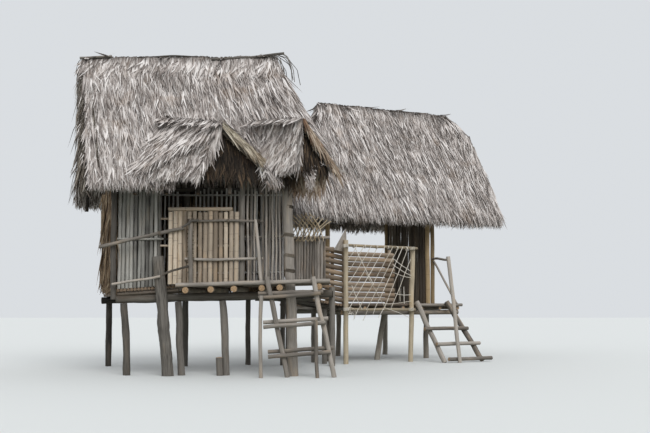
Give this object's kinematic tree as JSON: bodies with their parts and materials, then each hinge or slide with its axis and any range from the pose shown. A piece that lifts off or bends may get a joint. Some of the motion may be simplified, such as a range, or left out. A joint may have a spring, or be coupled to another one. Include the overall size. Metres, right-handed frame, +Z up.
{
  "type": "stilt house",
  "caption": "Thatched pole hut on stilts over water, joined by a raised walkway to an open thatched hut behind it, with leaf canopies, cane screens and ladders.",
  "frame": {"origin": "centre of the corner post's foot, at the waterline", "axes": "+X along the front wall to the viewer's right, +Y into the hut and away from the viewer, +Z up"},
  "size_m": [9.7241, 9.8094, 6.2006],
  "materials": {
    "pale_pole": "weathered, bare round poles",
    "grey_pole": "weathered, darker round poles",
    "dark_stick": "thin sticks in shade",
    "cane": "dry tan cane",
    "bark": "rough grey bark",
    "thatch": "dry grey palm leaves, matte",
    "twine": "pale twisted cord"
  },
  "bodies": {
    "root": {"corner_post": "pale_pole", "bark_post": "bark", "beam_posts": "grey_pole", "back_posts": "grey_pole", "main_beams": "grey_pole", "deck_joists": "pale_pole", "deck_edge_pole": "pale_pole", "deck_floor": "pale_pole", "side_floor": "pale_pole", "pole_wall": "grey_pole", "left_end_wall": "dark_stick", "back_wall": "dark_stick", "cane_screen": "cane", "stick_screen": "pale_pole", "wall_posts": "grey_pole", "deck_railing": "pale_pole", "roof_poles": "grey_pole", "rafters": "grey_pole", "front_thatch": "thatch", "rear_thatch": "thatch", "hip_thatch": "thatch", "door_canopy": "thatch", "corner_canopy": "thatch", "canopy_poles": "dark_stick", "ladder_frame": "pale_pole", "ladder_treads": "pale_pole", "walkway_floor": "pale_pole", "walkway_bearers": "grey_pole", "palisade": "pale_pole", "porch_frame": "cane", "porch_net": "twine", "cane_rails": "cane", "hut_posts": "cane", "end_wall": "dark_stick", "back_stilts": "grey_pole", "back_floor_frame": "grey_pole", "back_floor": "pale_pole", "back_roof_poles": "grey_pole", "back_rafters": "grey_pole", "back_front_thatch": "thatch", "back_rear_thatch": "thatch", "back_hip_thatch": "thatch", "side_ladder": "pale_pole", "side_ladder_treads": "pale_pole", "handrail": "pale_pole"}
  },
  "joints": []
}
